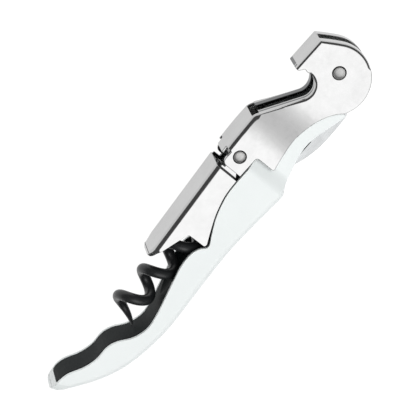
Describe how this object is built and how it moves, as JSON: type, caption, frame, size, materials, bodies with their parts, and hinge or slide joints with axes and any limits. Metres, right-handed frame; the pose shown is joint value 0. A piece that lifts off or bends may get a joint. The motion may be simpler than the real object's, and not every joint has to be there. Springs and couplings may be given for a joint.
{
  "type": "lever corkscrew",
  "caption": "Folding lever corkscrew: white coated channel handle with a black liner, black worm, jointed steel levers with a cap-lifting beak, and a folded foil knife.",
  "frame": {"origin": "middle of the folded tool's footprint, on the face it lies on", "axes": "+X from the tail of the handle to the head, +Y from the handle's closed back to the open front where levers and worm fold out, +Z across the thickness"},
  "size_m": [0.121, 0.0222, 0.012],
  "materials": {
    "handle_coat": "smooth white coating on pressed steel sheet",
    "liner_plastic": "fine matt black moulding",
    "worm_coat": "black non-stick coating on steel wire, satin",
    "lever_chrome": "bright plating on pressed steel sheet",
    "pin_steel": "plain turned steel",
    "blade_steel": "fine ground blade steel",
    "washer_nylon": "natural nylon"
  },
  "bodies": {
    "handle": {"handle_shell": "handle_coat", "grip_liner": "liner_plastic", "worm_pin": "pin_steel", "head_rivet": "pin_steel", "knife_washer_left": "washer_nylon", "knife_washer_right": "washer_nylon", "worm_washer_left": "washer_nylon", "worm_washer_right": "washer_nylon"},
    "lever": {"first_lever": "lever_chrome", "knuckle_rivet": "pin_steel", "knuckle_spacer": "pin_steel"},
    "lever_arm": {"second_lever": "lever_chrome"},
    "worm": {"worm": "worm_coat"},
    "knife": {"foil_knife": "blade_steel"}
  },
  "joints": [
    {"name": "lever_hinge", "type": "hinge", "parent": "handle", "child": "lever", "pos_m": [0.05283, 0.00136, 0.006], "axis": [0, 0, -1], "range_deg": [0, 95]},
    {"name": "arm_hinge", "type": "hinge", "parent": "lever", "child": "lever_arm", "pos_m": [0.01983, 0.00666, 0.006], "axis": [0, 0, -1], "range_deg": [0, 60]},
    {"name": "worm_hinge", "type": "hinge", "parent": "handle", "child": "worm", "pos_m": [0.02533, 0.00026, 0.006], "axis": [0, 0, -1], "range_deg": [0, 90]},
    {"name": "knife_hinge", "type": "hinge", "parent": "handle", "child": "knife", "pos_m": [0.05283, 0.00136, 0.006], "axis": [0, 0, 1], "range_deg": [0, 95]}
  ],
  "couplings": [
    {"joint": "worm_hinge", "follows": "lever_hinge", "ratio": 0.94737}
  ]
}
